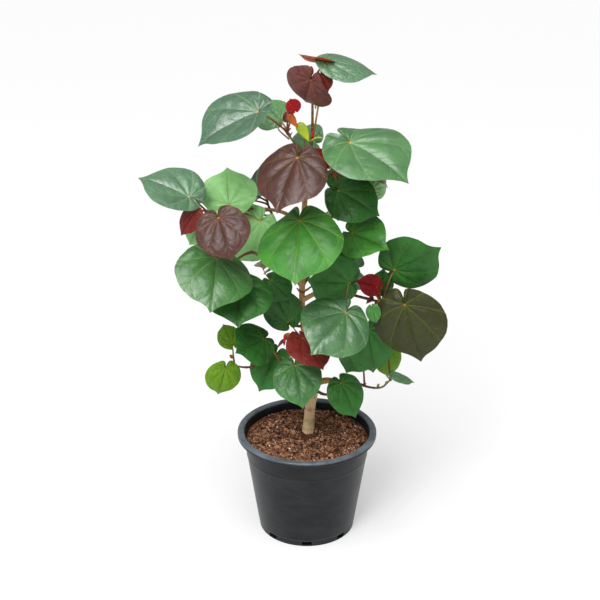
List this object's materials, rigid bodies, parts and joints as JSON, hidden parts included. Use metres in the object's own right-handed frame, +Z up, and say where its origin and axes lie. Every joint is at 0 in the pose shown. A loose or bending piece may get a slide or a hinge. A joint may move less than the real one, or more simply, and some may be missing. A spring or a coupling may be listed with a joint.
{
  "type": "potted sea hibiscus",
  "caption": "Young potted sea hibiscus with heart-shaped green, bronze and purple leaves on one trunk in a round black nursery pot.",
  "frame": {"origin": "middle of the pot's flat underside", "axes": "+Z up, the pictured front faces -Y, +X is to the right of it"},
  "size_m": [0.5998, 0.5048, 1.0353],
  "materials": {
    "pot": "matte",
    "potting_mix": "matte",
    "bark": "matte",
    "leaf_green": "satin",
    "leaf_dark": "satin",
    "leaf_lime": "satin",
    "leaf_bronze": "satin",
    "leaf_purple": "satin"
  },
  "bodies": {
    "root": {"pot": "pot", "soil": "potting_mix", "trunk": "bark", "bough_low_right": "bark", "bough_low_left": "bark", "bough_mid_right": "bark", "bough_mid_left": "bark", "bough_upper_left": "bark", "bough_upper_right": "bark", "bough_back_low": "bark", "bough_back_left": "bark", "bough_back_right": "bark", "foliage_top": "leaf_purple", "foliage_upper_left": "leaf_green", "foliage_upper_right": "leaf_green", "foliage_front_purple": "leaf_purple", "foliage_front_bright": "leaf_green", "foliage_left_high": "leaf_green", "foliage_left_mid": "leaf_green", "foliage_left_low": "leaf_dark", "foliage_right_high": "leaf_green", "foliage_right_mid": "leaf_green", "foliage_right_far": "leaf_bronze", "foliage_low_front": "leaf_purple", "foliage_low_left": "leaf_lime", "foliage_low_inner": "leaf_dark", "foliage_low_right": "leaf_green", "foliage_low_near": "leaf_green", "foliage_back_low": "leaf_green", "foliage_back_left": "leaf_green", "foliage_back_right": "leaf_green", "foliage_back_high": "leaf_green", "foliage_back_inner": "leaf_dark"}
  },
  "joints": []
}
